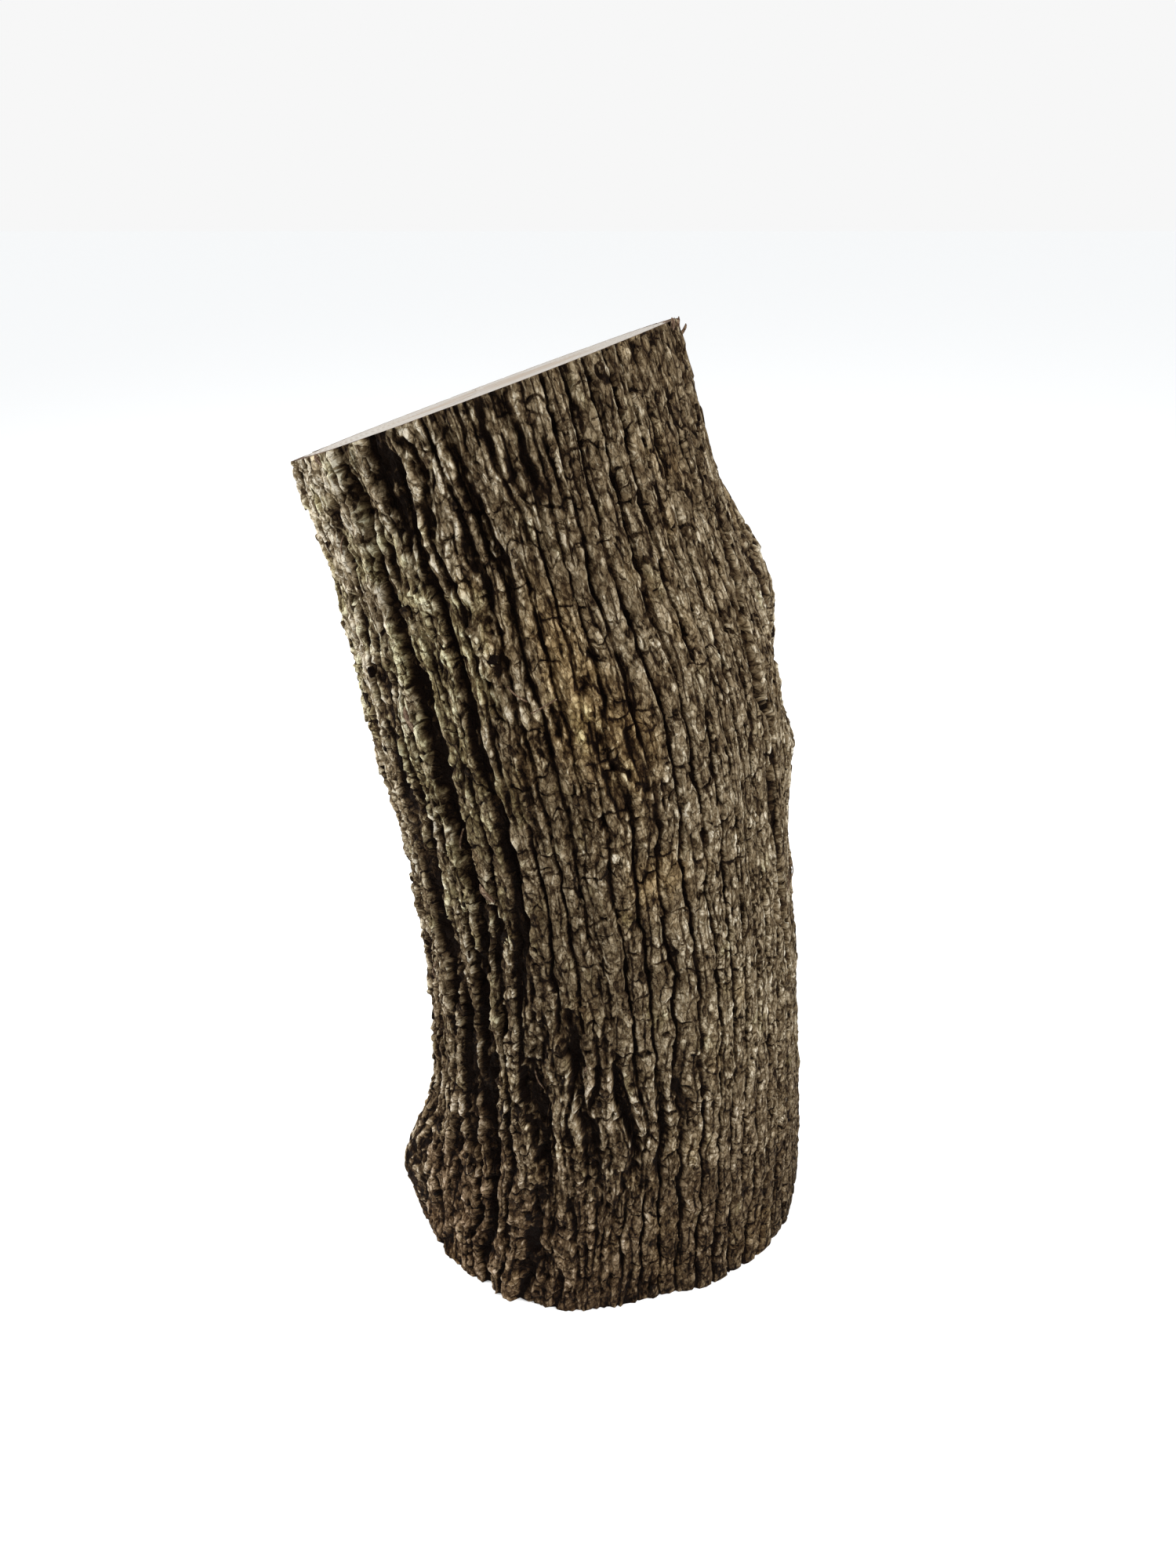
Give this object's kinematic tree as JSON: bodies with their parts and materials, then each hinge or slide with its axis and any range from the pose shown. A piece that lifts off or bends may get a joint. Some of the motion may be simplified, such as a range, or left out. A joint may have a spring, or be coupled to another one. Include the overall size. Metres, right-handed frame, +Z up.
{
  "type": "wood log",
  "caption": "Sawn length of tree trunk with its bark on, leaning and tapering slightly, standing on a flat lower cut.",
  "frame": {"origin": "on the surface the log stands on, under the middle of its bounding box", "axes": "+Z up along the trunk from the lower cut to the upper cut; the trunk leans towards -X and slightly towards +Y as it rises; -Y is the side seen from the front"},
  "size_m": [0.4925, 0.4086, 0.9234],
  "materials": {
    "bark": "deeply furrowed, matt grey-brown bark round the side; pale freshly sawn wood on the two cut ends"
  },
  "bodies": {
    "root": {"log": "bark"}
  },
  "joints": []
}
